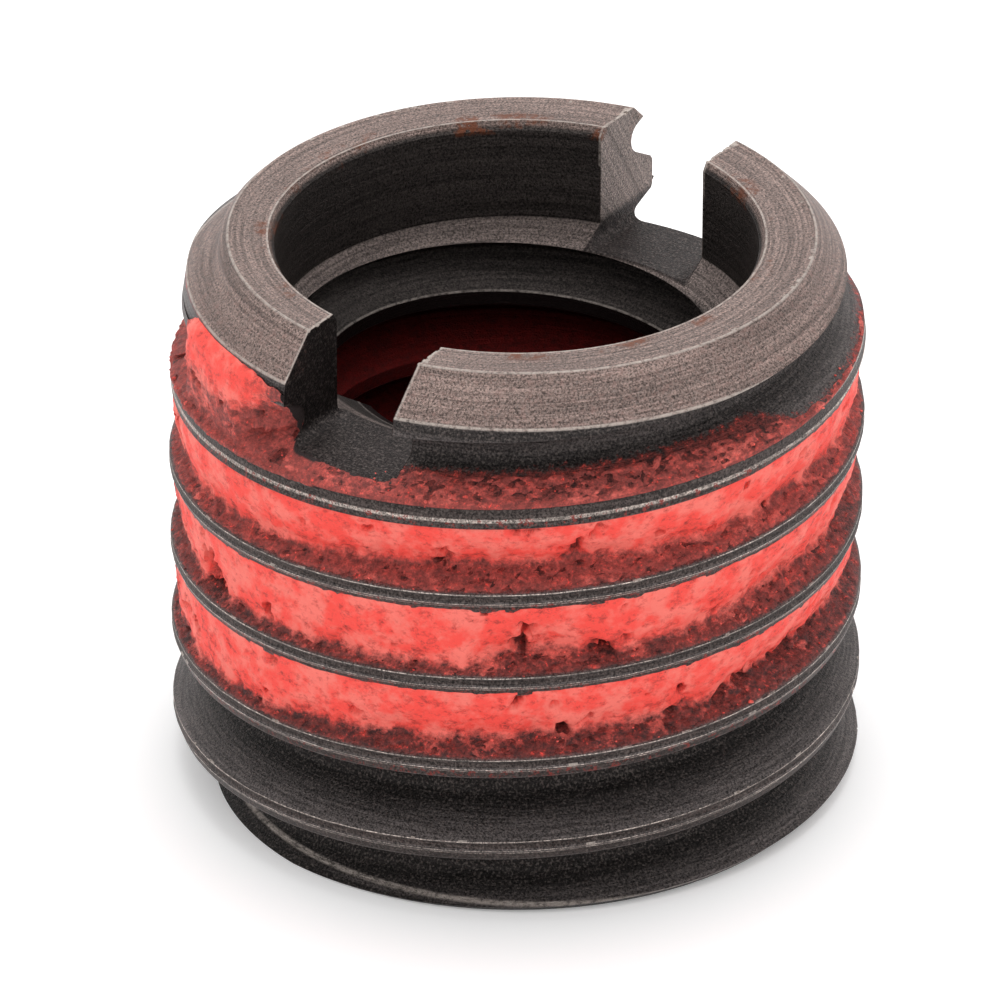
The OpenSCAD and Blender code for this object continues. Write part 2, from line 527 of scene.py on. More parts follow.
@dataclass(frozen=True)
class SteelFinish:
    """Carbon steel, turned and milled, then darkened by a thin black oxide film."""

    # black oxide is thin: the turned steel shows through as a dull warm grey, darker on the threads and in the bore
    faced: str = "#7c6b65"
    threaded: str = "#544e4d"
    crest: str = "#3f3836"
    bore: str = "#36312f"
    cone: str = "#6c615d"
    # the slot's walls are painted in shade at its -X end and lit at its +X end, and its floor is painted in shade
    slotted: str = "#7d716c"
    slot_floor_shade: str = "#312b2a"
    slot_wall_shade: str = "#1d1716"
    # painted shade in the groove's bottom, under the chamfer's edge and round the foot
    groove_shade: str = "#242120"
    # handling rubs the oxide off edges, down to the bright steel; the same colour paints the edges' and lips'
    # highlights
    bare_steel_and_highlight: str = "#b9aea6"
    glint: str = "#8a7f7a"
    # drying dust of the compound and a little rust lie on the faces
    dust: str = "#94766f"
    rust: str = "#6e3d27"
    # thin smears of the compound dry dark red on the oxide
    stain: str = "#8a3f3a"
    stain_dark: str = "#3a1f1e"
    fleck: str = "#e0574c"
    film: str = "#610d0b"
    # painted shadow, nearly black, under the bore's first crest
    bore_shadow: str = "#150706"
    roughness: float = 0.44
    metallic: float = 0.8
    # turns up the outer thread at which the groove under the chamfer begins
    top_groove: float = 6.5
    # turns up the bore's thread at which its first crest stands, which the film reaches
    film_top: float = 6.105

    def fields(self, node: AddNode, body: InsertBody) -> SteelFields:
        """Work out where each point of the steel lies, and the patterns on it.

        Args:
            node: adds a node to the material.
            body: the insert, for its sizes.

        Returns:
            The sockets that the layers read.
        """
        outer, end, slot = body.outer, body.end, body.slot
        mm = node("VectorMath", {0: node("TexCoord", out="Object"), "Scale": 1 / MM}, operation="SCALE")
        x, y, z = node("SeparateXYZ", {0: mm}).node.outputs
        flat = node("VectorMath", {0: mm, 1: (1, 1, 0)}, operation="MULTIPLY")
        radius = node("VectorMath", {0: flat}, out="Value", operation="LENGTH")
        from_end = node("VectorMath", {0: flat, 1: end.centre}, out="Value", operation="DISTANCE")
        angle = node("Math", {0: y, 1: x}, operation="ARCTAN2")
        # whole turns are at the middle of a groove, and half ones at the middle of a crest
        phase = outer.start / 360 + 0.5
        turn = node("Math", {0: angle, 1: -1 / (2 * math.pi), 2: phase}, operation="MULTIPLY_ADD")
        wound = node("Math", {0: z, 1: 1 / outer.pitch, 2: turn}, operation="MULTIPLY_ADD")
        part = node("Math", {0: wound}, operation="FRACT")
        above = node("Math", {0: part, 1: outer.pitch, 2: -outer.pitch / 2}, operation="MULTIPLY_ADD")

        edge, floor = body.length - end.chamfer, body.length - slot.depth
        upper = node("MapRange", {0: z, 1: edge - 0.04, 2: edge}, **EASE)
        lower = node("Math", {0: 1.0, 1: upper}, operation="SUBTRACT")
        outside = node("MapRange", {0: radius, 1: outer.root_r - 0.12, 2: outer.root_r - 0.08}, **EASE)
        bore_r = body.counterbore_r
        inside = node("MapRange", {0: radius, 1: bore_r + 0.11, 2: bore_r + 0.03}, **EASE)
        off_slot = node("Math", {0: y, 1: slot.offset}, operation="ADD")
        off_slot = node("Math", {0: off_slot}, operation="ABSOLUTE")
        half = slot.width / 2
        slotted = node("MapRange", {0: off_slot, 1: half + 0.03, 2: half + 0.01}, **EASE)
        over = node("Math", {0: x, 1: math.tan(slot.tilt), 2: z}, operation="MULTIPLY_ADD")
        over = node("MapRange", {0: over, 1: floor - 0.06, 2: floor - 0.02}, **EASE)
        under_face = node("MapRange", {0: z, 1: body.length - 0.01, 2: body.length - 0.03}, **EASE)
        for share in (over, under_face):
            slotted = node("Math", {0: slotted, 1: share}, operation="MULTIPLY")
        unmilled = node("Math", {0: 1.0, 1: slotted}, operation="SUBTRACT")
        threads = node("Math", {0: outside, 1: lower}, operation="MULTIPLY")
        threads = node("Math", {0: threads, 1: unmilled}, operation="MULTIPLY")
        inside = node("Math", {0: inside, 1: unmilled}, operation="MULTIPLY")

        # turning leaves rings: the noise runs fast along radius and height and slowly round the axis
        rings = node("CombineXYZ", {0: radius, 1: z, 2: angle})
        # the slot's cutter left slanting lines
        across = node("Math", {0: x, 1: 0.9}, operation="MULTIPLY")
        slant = node("Math", {0: z, 1: 0.55, 2: across}, operation="MULTIPLY_ADD")
        aside = node("Math", {0: y, 1: 0.1}, operation="MULTIPLY")
        milled = node("CombineXYZ", {0: slant, 1: aside, 2: 0.0})
        marks = node("Mix", {0: slotted, 4: rings, 5: milled}, out=1, data_type="VECTOR")
        # real feed lines stand 0.05 mm apart; drawn 0.1 mm apart so that they show
        fast = node("VectorMath", {0: marks, 1: (10.0, 10.0, 1.1)}, operation="MULTIPLY")
        lines = node("TexNoise", {"Vector": fast, "Scale": 1.0, "Detail": 4.0, "Roughness": 0.65})
        # oxide crystals are microns across; drawn at 0.06 mm
        grain = node("TexNoise", {"Vector": mm, "Scale": 17.0, "Detail": 2.0, "Roughness": 0.8})
        speck = node("TexNoise", {"Vector": mm, "Scale": 4.6, "Detail": 6.0, "Roughness": 0.8})
        return SteelFields(
            mm=mm, x=x, y=y, z=z, angle=angle, radius=radius, from_end=from_end, off_slot=off_slot,
            wound=wound, above=above, upper=upper, outside=outside, threads=threads, inside=inside,
            slotted=slotted, unmilled=unmilled,
            lines=node("MapRange", {0: lines, 1: 0.4, 2: 0.6}),
            broad=node("TexNoise", {"Vector": mm, "Scale": 0.8, "Detail": 5.0, "Roughness": 0.65}),
            grain=node("MapRange", {0: grain, 1: 0.38, 2: 0.62}),
            speck=speck,
            rub=node("MapRange", {0: speck, 1: 0.36, 2: 0.56, 3: 0.1, 4: 0.8}, **EASE),
        )

    def greys(self, node: AddNode, at: SteelFields, body: InsertBody) -> list[Layer]:
        """Give the oxide's greys, which differ from face to face, with painted shade in the slot, the grooves, under
        the chamfer and round the foot, and with the crests' lips painted bright also as highlights.

        Args:
            node: adds a node to the material.
            at: the sockets that the layers read.
            body: the insert, for its sizes.

        Returns:
            The layers, from the lowest up.
        """
        outer, top = body.outer, body.length
        shelf_z, floor_z = top - body.counterbore_depth, top - body.slot.depth
        shelf = node("MapRange", {0: at.z, 1: shelf_z + 0.04, 2: shelf_z - 0.02}, **EASE)
        over_bore = node("MapRange", {0: at.z, 1: shelf_z - 0.68, 2: shelf_z - 0.48}, **EASE)
        for share in (over_bore, at.inside):
            shelf = node("Math", {0: shelf, 1: share}, operation="MULTIPLY")
        # painted shade on the slot's walls at its -X end, which fades to the lit colour at its +X end
        lit_slot_end = node("MapRange", {0: at.x, 1: -1.0, 2: 1.0})
        slot_colour_and_shade = node("Mix", {0: lit_slot_end, 6: linear(self.slot_wall_shade), 7: linear(self.slotted)}, **OVER)
        # painted shade on the slot's floor, as dark at both ends
        floor = node("MapRange", {0: at.z, 1: floor_z + 0.6, 2: floor_z + 0.3}, **EASE)
        slot_colour_and_shade = node("Mix", {0: floor, 6: slot_colour_and_shade, 7: linear(self.slot_floor_shade)}, **OVER)

        # painted shade in the groove's bottom, fading towards the top, and painted shadow under the chamfer's edge
        # on the side facing the camera and round the foot
        deep = node("MapRange", {0: at.radius, 1: outer.crest_r - 0.15, 2: outer.root_r + 0.25}, **EASE)
        fading = node("MapRange", {0: at.z, 1: top - 2.9, 2: top - 1.7, 3: 1.0, 4: 0.35})
        for share in (fading, at.threads):
            deep = node("Math", {0: deep, 1: share}, operation="MULTIPLY")
        # painted shadow under the chamfer's edge, on the side facing the camera
        land = node("MapRange", {0: at.z, 1: top - 1.6, 2: top - 1.4, 4: 0.8}, **EASE)
        for share in (at.threads, node("MapRange", {0: at.y, 1: 1.0, 2: -2.0}, **EASE)):
            land = node("Math", {0: land, 1: share}, operation="MULTIPLY")
        # painted contact shadow round the foot
        foot = node("MapRange", {0: at.z, 1: 0.2, 2: 0.12}, **EASE)
        foot = node("Math", {0: at.threads, 1: foot}, operation="MULTIPLY")
        ends = node("Math", {0: land, 1: foot}, operation="ADD")
        deep = node("Math", {0: deep, 1: ends}, operation="MAXIMUM")

        # the crest is dark between its two rubbed lips, which lie where it meets the flanks; the lips are painted
        # bright also as their highlights
        upright = node("SeparateXYZ", {0: node("NewGeometry", out="True Normal")}, out=2)
        upright = node("Math", {0: upright}, operation="ABSOLUTE")
        crest = node("MapRange", {0: upright, 1: 0.55, 2: 0.4}, **EASE)
        proud = node("MapRange", {0: at.radius, 1: outer.crest_r - 0.33, 2: outer.crest_r - 0.25}, **EASE)
        for share in (at.threads, proud):
            crest = node("Math", {0: crest, 1: share}, operation="MULTIPLY")
        tan = math.tan(outer.flank)
        half = outer.crest / 2 + outer.crest_r * tan
        half = node("Math", {0: at.radius, 1: -tan, 2: half}, operation="MULTIPLY_ADD")
        away = node("Math", {0: at.above}, operation="ABSOLUTE")
        short = node("Math", {0: half, 1: away}, operation="SUBTRACT")
        lip = node("MapRange", {0: short, 1: 0.085, 2: 0.05}, **EASE)
        within = node("MapRange", {0: short, 1: -0.06, 2: -0.02}, **EASE)
        patchy = node("MapRange", {0: at.speck, 1: 0.36, 2: 0.58, 3: 0.3, 4: 0.95}, **EASE)
        for share in (within, crest, patchy):
            lip = node("Math", {0: lip, 1: share}, operation="MULTIPLY")
        return [
            (at.threads, linear(self.threaded)), (at.inside, linear(self.bore)), (shelf, linear(self.cone)),
            (at.slotted, slot_colour_and_shade), (deep, linear(self.groove_shade)), (crest, linear(self.crest)),
            (lip, linear(self.bare_steel_and_highlight)),
        ]

    def wear(self, node: AddNode, at: SteelFields, body: InsertBody) -> list[Layer]:
        """Give the glints, dust, rust, rubbed edges, painted bright also as edge highlights, and chips.

        Args:
            node: adds a node to the material.
            at: the sockets that the layers read.
            body: the insert, for its sizes.

        Returns:
            The layers, from the lowest up.
        """
        end, top, bore_r = body.end, body.length, body.counterbore_r
        # single crystals catch the light, most plainly on the darkest faces
        glint = node("TexNoise", {"Vector": at.mm, "Scale": 14.0, "Detail": 1.0})
        glint = node("MapRange", {0: glint, 1: 0.5, 2: 0.72, 4: 0.34})
        fewer = node("MapRange", {0: at.inside, 3: 1.0, 4: 0.45})
        glint = node("Math", {0: glint, 1: fewer}, operation="MULTIPLY")

        # dust on the turned end, and rust where fingers held it
        dusty = node("MapRange", {0: at.speck, 1: 0.5, 2: 0.66, 4: 0.5}, **EASE)
        chamfered = node("Math", {0: at.upper, 1: at.outside}, operation="MULTIPLY")
        dusty = node("Math", {0: dusty, 1: chamfered}, operation="MULTIPLY")
        rusty = node("MapRange", {0: at.broad, 1: 0.52, 2: 0.62, 4: 0.8}, **EASE)
        for share in (
            node("MapRange", {0: at.radius, 1: bore_r + 0.72, 2: bore_r + 0.37}, **EASE),
            node("MapRange", {0: at.z, 1: top - 0.4, 2: top - 0.3}, **EASE),
            node("MapRange", {0: at.speck, 1: 0.42, 2: 0.5}, **EASE),
        ):
            rusty = node("Math", {0: rusty, 1: share}, operation="MULTIPLY")
        layers = [(glint, linear(self.glint)), (dusty, linear(self.dust)), (rusty, linear(self.rust))]

        # rubbed edges, painted bright also as their highlights: the ring's two, the chamfer's lower one, the
        # insert's bottom one and the slot's
        for value, place, width, zone in (
            (at.from_end, end.ring_r, 0.05, at.upper),
            (at.radius, bore_r + body.mouth_bevel + 0.02, 0.045, at.upper),
            (at.z, top - end.chamfer, 0.055, at.outside),
            (at.z, body.foot_edge, 0.06, at.outside),
            (at.off_slot, body.slot.width / 2 + 0.03, 0.07, at.upper),
        ):
            near = node("Math", {0: value, 1: place}, operation="SUBTRACT")
            near = node("Math", {0: near}, operation="ABSOLUTE")
            near = node("MapRange", {0: near, 1: width, 2: width * 0.3}, **EASE)
            for share in (at.rub, zone, at.unmilled):
                near = node("Math", {0: near, 1: share}, operation="MULTIPLY")
            layers.append((near, linear(self.bare_steel_and_highlight)))

        # chips broke through the oxide
        chips = node("Attribute", out="Fac", attribute_name="chip")
        chips = node("Math", {0: chips, 1: at.rub}, operation="MULTIPLY")
        return [*layers, (chips, linear(self.bare_steel_and_highlight))]

    def smears(self, node: AddNode, at: SteelFields) -> list[Layer]:
        """Give the smears of the compound on the outer thread's flanks.

        Args:
            node: adds a node to the material.
            at: the sockets that the layers read.

        Returns:
            The layers, from the lowest up.
        """
        # they lie on the rising flanks, and in the groove under the chamfer only near the crest
        topmost = node("MapRange", {0: at.wound, 1: self.top_groove, 2: self.top_groove + 0.02})
        edge = node("MapRange", {0: at.angle, 1: -1.75, 2: -1.55, 3: 0.82, 4: 0.34}, **EASE)
        band = node("Mix", {0: topmost, 2: 1.16, 3: edge}, data_type="FLOAT")
        ragged = node("Math", {0: at.speck, 1: 0.5, 2: -0.25}, operation="MULTIPLY_ADD")
        rest = node("Math", {0: band, 1: at.above}, operation="SUBTRACT")
        rest = node("Math", {0: rest, 1: ragged}, operation="ADD")
        smear = node("MapRange", {0: rest, 1: 0.0, 2: 0.14}, **EASE)
        # the groove under the chamfer is clean round the slot's +X end
        clean = node("MapRange", {0: at.angle, 1: -0.55, 2: -0.4}, **EASE)
        for share in (
            node("MapRange", {0: at.angle, 1: 1.2, 2: 1.0}, **EASE),
            node("MapRange", {0: at.z, 1: 11.6, 2: 11.8}, **EASE),
        ):
            clean = node("Math", {0: clean, 1: share}, operation="MULTIPLY")
        for share in (
            node("MapRange", {0: at.above, 1: 0.15, 2: 0.24}, **EASE),
            node("MapRange", {0: at.z, 1: 4.0, 2: 4.5}, **EASE),
            at.threads, node("Math", {0: 1.0, 1: clean}, operation="SUBTRACT"), 0.88,
        ):
            smear = node("Math", {0: smear, 1: share}, operation="MULTIPLY")
        mottle = node("MapRange", {0: at.speck, 1: 0.38, 2: 0.56}, **EASE)
        red = node("Mix", {0: mottle, 6: linear(self.stain_dark), 7: linear(self.stain)}, **OVER)
        bright = node("MapRange", {0: at.speck, 1: 0.57, 2: 0.63}, **EASE)
        red = node("Mix", {0: bright, 6: red, 7: linear(self.fleck)}, **OVER)

        # a few flecks under the crests too
        under = node("MapRange", {0: at.above, 1: -0.17, 2: -0.2}, **EASE)
        for share in (
            node("MapRange", {0: at.speck, 1: 0.54, 2: 0.6}, **EASE),
            node("MapRange", {0: at.z, 1: 3.4, 2: 4.6}, **EASE),
            node("MapRange", {0: at.z, 1: 13.6, 2: 13.4}, **EASE), at.threads,
        ):
            under = node("Math", {0: under, 1: share}, operation="MULTIPLY")
        return [(smear, red), (under, linear(self.stain))]

    def bore_film(self, node: AddNode, at: SteelFields, inner: InnerThread) -> list[Layer]:
        """Give the red film of the compound that coats the bore from its first crest down, over a painted shadow
        under that crest, with the crest's burr painted bright also as its highlight.

        Args:
            node: adds a node to the material.
            at: the sockets that the layers read.
            inner: the bore's thread.

        Returns:
            The layers, from the lowest up.
        """
        phase = inner.start / 360
        turn = node("Math", {0: at.angle, 1: -1 / (2 * math.pi), 2: phase}, operation="MULTIPLY_ADD")
        coil = node("Math", {0: at.z, 1: 1 / inner.pitch, 2: turn}, operation="MULTIPLY_ADD")
        # painted shadow under the first crest, nearly black, which the film mostly covers further down
        under_crest_shadow = node("MapRange", {0: coil, 1: self.film_top + 0.025, 2: self.film_top - 0.025}, **EASE)
        under_crest_shadow = node("Math", {0: under_crest_shadow, 1: at.inside}, operation="MULTIPLY")
        # the first crest's burr is rubbed bare and painted bright also as its highlight
        burr_and_highlight = node("Math", {0: coil, 1: self.film_top}, operation="SUBTRACT")
        burr_and_highlight = node("Math", {0: burr_and_highlight}, operation="ABSOLUTE")
        burr_and_highlight = node("MapRange", {0: burr_and_highlight, 1: 0.02, 2: 0.006, 4: 0.5}, **EASE)
        tip = node("MapRange", {0: at.radius, 1: inner.crest_r + 0.12, 2: inner.crest_r + 0.06}, **EASE)
        for share in (tip, at.rub):
            burr_and_highlight = node("Math", {0: burr_and_highlight, 1: share}, operation="MULTIPLY")
        film = node("Math", {0: at.speck, 1: 0.5, 2: coil}, operation="MULTIPLY_ADD")
        film = node("MapRange", {0: film, 1: 5.95, 2: 5.6}, **EASE)
        for share in (at.inside, node("MapRange", {0: at.speck, 1: 0.35, 2: 0.6, 3: 0.45}, **EASE)):
            film = node("Math", {0: film, 1: share}, operation="MULTIPLY")
        return [(under_crest_shadow, linear(self.bore_shadow)), (burr_and_highlight, linear(self.bare_steel_and_highlight)), (film, linear(self.film))]

    def material(self, body: InsertBody) -> bpy.types.Material:
        """Make the material.

        Args:
            body: the insert, for its sizes.

        Returns:
            The material.
        """
        material = bpy.data.materials.new("black_oxide_carbon_steel_turned_and_milled")
        material.use_nodes = True
        tree = material.node_tree
        node = partial(add_node, tree)
        shader = tree.nodes["Principled BSDF"]
        at = self.fields(node, body)
        colour: Colour = linear(self.faced)
        for share, over in self.greys(node, at, body):
            colour = node("Mix", {0: share, 6: colour, 7: over}, **OVER)
        # turning lines and grain, within the oxide's range of greys
        tone = node("Math", {0: at.lines, 1: 0.64, 2: 0.68}, operation="MULTIPLY_ADD")
        grey = node("Math", {0: at.grain, 1: 1.4, 2: 0.3}, operation="MULTIPLY_ADD")
        tone = node("Math", {0: tone, 1: grey}, operation="MULTIPLY")
        colour = node("Mix", {0: 1.0, 6: colour, 7: tone}, **TIMES)
        upper = [*self.wear(node, at, body), *self.smears(node, at), *self.bore_film(node, at, body.inner)]
        for share, over in upper:
            colour = node("Mix", {0: share, 6: colour, 7: over}, **OVER)
        tree.links.new(colour, shader.inputs["Base Color"])
        shader.inputs["Metallic"].default_value = self.metallic
        rough = node("Math", {0: at.grain, 1: 0.2, 2: self.roughness - 0.06}, operation="MULTIPLY_ADD")
        tree.links.new(rough, shader.inputs["Roughness"])
        relief = node("Math", {0: at.lines, 1: 0.7, 2: at.grain}, operation="MULTIPLY_ADD")
        bump = node("Bump", {"Height": relief, "Strength": 0.6, "Distance": 0.02 * MM})
        tree.links.new(bump, shader.inputs["Normal"])
        return material


@dataclass(frozen=True)
class CompoundFinish:
    """Dried microencapsulated acrylic compound: a matt, slightly chalky red with capsules under its skin."""

    body: str = "#ff4e43"
    pale: str = "#ff7a6d"
    deep: str = "#c8332b"
    crack: str = "#5a1613"
    # where it is only a thin skin the dark steel shows through
    skin: str = "#a8453d"
    skin_dark: str = "#3d1b1a"
    dirty: str = "#1f100f"
    roughness: float = 0.66
    ior: float = 1.49

    def material(self) -> bpy.types.Material:
        """Make the material.

        Returns:
            The material.
        """
        material = bpy.data.materials.new("dried_microencapsulated_acrylic_compound")
        material.use_nodes = True
        tree = material.node_tree
        node = partial(add_node, tree)
        shader = tree.nodes["Principled BSDF"]
        mm = node("VectorMath", {0: node("TexCoord", out="Object"), "Scale": 1 / MM}, operation="SCALE")
        full = node("Attribute", out="Fac", attribute_name="full")
        height = node("SeparateXYZ", {0: mm}, out=2)
        broad = node("TexNoise", {"Vector": mm, "Scale": 1.1, "Detail": 5.0, "Roughness": 0.62})
        streak = node("VectorMath", {0: mm, 1: (1.0, 1.0, 1.4)}, operation="MULTIPLY")
        mottle = node("TexNoise", {"Vector": streak, "Scale": 3.0, "Detail": 7.0, "Roughness": 0.74})
        grit = node("TexNoise", {"Vector": mm, "Scale": 4.6, "Detail": 6.0, "Roughness": 0.8})
        # the capsules are 0.05 mm; drawn at 0.1 mm
        fine = node("TexNoise", {"Vector": mm, "Scale": 10.0, "Detail": 3.0, "Roughness": 0.75})

        # the thick bead: chalky and cracked
        thick: Colour = linear(self.body)
        for share, code in (
            (node("MapRange", {0: broad, 1: 0.42, 2: 0.62}, **EASE), self.pale),
            (node("MapRange", {0: mottle, 1: 0.5, 2: 0.36, 4: 0.55}, **EASE), self.deep),
            (node("MapRange", {0: mottle, 1: 0.36, 2: 0.3, 4: 0.8}, **EASE), self.crack),
        ):
            thick = node("Mix", {0: share, 6: thick, 7: linear(code)}, **OVER)

        # the thin skin: caked in patches, and darker towards the lower turns
        patches = node("Math", {0: grit, 1: 0.6}, operation="MULTIPLY")
        patches = node("Math", {0: mottle, 1: 0.8, 2: patches}, operation="MULTIPLY_ADD")
        low = node("MapRange", {0: height, 1: 6.0, 2: 11.0, 3: -0.08, 4: 0.08})
        caked = node("MapRange", {0: node("Math", {0: low, 1: patches}, operation="ADD"), 1: 0.52, 2: 0.86})
        thin = node("Mix", {0: caked, 6: linear(self.skin_dark), 7: linear(self.skin)}, **OVER)
        capsules = node("MapRange", {0: fine, 1: 0.3, 2: 0.7, 3: 0.5, 4: 1.5})
        thin = node("Mix", {0: 1.0, 6: thin, 7: capsules}, **TIMES)
        grains = node("MapRange", {0: grit, 1: 0.6, 2: 0.66}, **EASE)
        thin = node("Mix", {0: grains, 6: thin, 7: linear(self.body)}, **OVER)

        ragged = full
        for pattern, weight in ((mottle, 1.1), (fine, 0.35), (broad, 1.2)):
            ragged = node("Math", {0: pattern, 1: weight, 2: ragged}, operation="MULTIPLY_ADD")
        whole = node("MapRange", {0: ragged, 1: 1.74, 2: 2.2})
        colour = node("Mix", {0: whole, 6: thin, 7: thick}, **OVER)
        # where the slot's cutter went through it, it is nearly black with dirt
        cut = node("MapRange", {0: full, 1: 0.08, 2: 0.02}, **EASE)
        colour = node("Mix", {0: cut, 6: colour, 7: linear(self.dirty)}, **OVER)
        tree.links.new(colour, shader.inputs["Base Color"])
        shader.inputs["Roughness"].default_value = self.roughness
        shader.inputs["IOR"].default_value = self.ior
        lump = node("Math", {0: mottle, 1: 2.0, 2: fine}, operation="MULTIPLY_ADD")
        bump = node("Bump", {"Height": lump, "Strength": 0.7, "Distance": 0.06 * MM})
        tree.links.new(bump, shader.inputs["Normal"])
        return material


@dataclass(frozen=True)
class Lump:
    """The kind of a small rough lump: how finely it is cut, how wide and high, how far turned and how rough."""

    segments: int
    wide: tuple[float, float]
    high: tuple[float, float]
    spin: float
    rough: float

    def add(self, work: bmesh.types.BMesh, rng: random.Random, spot: Vector, size: float) -> None:
        """Add one such lump to worked geometry.

        Args:
            work: the geometry that it is added to.
            rng: gives its proportions, its turn and its roughness.
            spot: its middle.
            size: its mean radius.
        """
        wide = [rng.uniform(*self.wide) for _ in range(2)]
        scale = Matrix.Diagonal((*wide, rng.uniform(*self.high), 1))
        spin = Matrix.Rotation(rng.uniform(0, self.spin), 4, "Z")
        made = bmesh.ops.create_icosphere(
            work, subdivisions=self.segments, radius=size * MM, matrix=Matrix.Translation(spot * MM) @ spin @ scale
        )
        for v in made["verts"]:
            v.co += Vector([rng.uniform(-1, 1) for _ in range(3)]) * size * self.rough * MM


@dataclass
class InsertBody:
    """The one-piece steel insert: blank, two threads, counterbore, countersink and drive slot."""

    length: float = 15.9
    outer: OuterThread = field(default_factory=OuterThread)
    inner: InnerThread = field(default_factory=InnerThread)
    slot: DriveSlot = field(default_factory=DriveSlot)
    finish: SteelFinish = field(default_factory=SteelFinish)
    end: TurnedEnd = field(default_factory=TurnedEnd)
    foot_r: float = 8.9
    counterbore_r: float = 6.53
    counterbore_depth: float = 2.92
    cone: float = math.radians(118)
    mouth_bevel: float = 0.17
    mouth_depth: float = 0.25
    exit_r: float = 6.7
    # height of the rubbed edge round the foot, painted bright also as its highlight
    foot_edge: float = 0.25
    # the first crest was turned down further at the slot's +X end: how far, and its bearings and heights
    worn_crest: float = 0.42
    worn_bearings: tuple[float, ...] = (-55, -8, 20, 60)
    worn_heights: tuple[float, ...] = (12.5, 12.8, 14.3, 14.6)
    # bites that are tried at each corner of the slot, round the ring and along the crests
    corner_tries: int = 14
    ring_tries: int = 60
    crest_tries: int = 160
    bite: Lump = Lump(2, (0.7, 1.7), (0.6, 1.1), math.pi, 0.12)
    seed: int = 7

    def bites(self) -> list[tuple[Vector, float]]:
        """Choose the places and sizes of the small bites that handling left in the edges.

        Returns:
            A place and a radius for each bite.
        """
        rng = random.Random(self.seed)
        places: list[tuple[Vector, float]] = []
        half = self.slot.width / 2
        # the largest took off the corner over the groove at the slot's +X end
        y = half - self.slot.offset
        corner = Vector((math.sqrt(self.end.lead_r**2 - y * y), y, self.length - self.end.chamfer))
        tries = [(corner, 0.2)]
        for side, sx in ((-1, -1), (-1, 1), (1, -1), (1, 1)):
            y = -self.slot.offset + side * half
            for _ in range(self.corner_tries):
                r = rng.uniform(6.8, 7.9)
                spot = Vector((sx * math.sqrt(r * r - y * y), y, self.length))
                tries.append((spot, rng.uniform(0.03, 0.1)))
                f = rng.random()
                r = self.end.ring_r + (self.end.lead_r - self.end.ring_r) * f
                spot = Vector((sx * math.sqrt(r * r - y * y), y, self.length - self.end.chamfer * f))
                tries.append((spot, rng.uniform(0.03, 0.11)))
        for _ in range(self.ring_tries):
            a, r = rng.uniform(0, 2 * math.pi), self.end.ring_r
            tries.append((Vector((r * math.cos(a), r * math.sin(a), self.length)), rng.uniform(0.02, 0.05)))
        for _ in range(self.crest_tries):
            a, r = rng.uniform(0, 360), self.outer.crest_r + 0.01
            z = self.outer.rise(a) + self.outer.pitch * rng.randint(0, 4)
            z += rng.choice((-1, 1)) * self.outer.crest / 2
            a = math.radians(a)
            tries.append((Vector((r * math.cos(a), r * math.sin(a), z)), rng.uniform(0.02, 0.06)))
        # they stay clear of each other, so that each is cut cleanly
        for spot, size in tries:
            if all((spot - other).length > 2 * (size + near) for other, near in places):
                places.append((spot, size))
        return places

    def nicks(self, places: list[tuple[Vector, float]]) -> bpy.types.Mesh:
        """Make the bites as one cutting mesh.

        Args:
            places: their middles and sizes.

        Returns:
            The cutting mesh.
        """
        rng = random.Random(self.seed)
        work = bmesh.new()
        for spot, size in places:
            self.bite.add(work, rng, spot, size)
        return finished(work, "nicks")

    def build(self) -> bpy.types.Object:
        """Build the body and dress it.

        Returns:
            The body's object.
        """
        points, faces = threaded_rod(
            self.outer.profile(), self.outer.pitch, self.outer.start, self.outer.steps,
            -self.outer.pitch, self.length + self.outer.pitch,
        )
        flat = np.hypot(points[:, 0], points[:, 1])
        crest = np.clip((flat - 9.3) / 0.1, 0, 1)
        wave = np.array([noise.noise(Vector(p) * 1.7) + 0.6 * noise.noise(Vector(p) * 6.0) for p in points])
        move = 1 + 0.012 * wave * crest / np.maximum(flat, 1)
        bearing = np.degrees(np.arctan2(points[:, 1], points[:, 0]))
        level = np.interp(points[:, 2], self.worn_heights, (0, 1, 1, 0))
        limit = self.outer.crest_r - self.worn_crest * np.interp(bearing, self.worn_bearings, (0, 1, 1, 0)) * level
        move *= np.minimum(1, (limit + 0.03) / np.maximum(flat, 1))
        points[:, 0] *= move
        points[:, 1] *= move
        body = put("steel_insert_body", mesh_from("steel_insert_body", points, faces))
        run, top = 12, self.length + 3
        foot = [
            (0, 0), (self.foot_r - 0.04, 0), (self.foot_r, 0.03), (run, run - self.foot_r), (run, top), (0, top),
        ]
        shape(body, mesh_from("foot", *revolved(foot, 256)), Cut.KEEP)
        shape(body, self.end.solid(self.length, self.outer.crest_r), Cut.KEEP)
        points, faces = threaded_rod(
            self.inner.profile(), self.inner.pitch, self.inner.start, self.inner.steps,
            -self.inner.pitch, self.length - self.counterbore_depth - self.inner.pitch,
        )
        shape(body, mesh_from("inner", points, faces), Cut.REMOVE)
        shape(body, mesh_from("mouth", *revolved(self.mouth_outline(), 256)), Cut.REMOVE)
        exit_cut = [(0, -1), (self.exit_r + 1, -1), (0.5, self.exit_r - 0.5), (0, self.exit_r - 0.5)]
        shape(body, mesh_from("exit", *revolved(exit_cut, 192)), Cut.REMOVE)
        shape(body, self.slot.mesh(self.length), Cut.REMOVE)
        places = self.bites()
        shape(body, self.nicks(places), Cut.REMOVE)
        count = len(body.data.polygons)
        middle = np.empty(count * 3)
        body.data.polygons.foreach_get("center", middle)
        middle = middle.reshape(-1, 3) / MM
        chip = np.zeros(count)
        for spot, size in places:
            chip[np.linalg.norm(middle - np.array(spot), axis=1) < size * 1.5] = 1
        body.data.attributes.new("chip", "FLOAT", "FACE").data.foreach_set("value", chip.astype(np.float32))
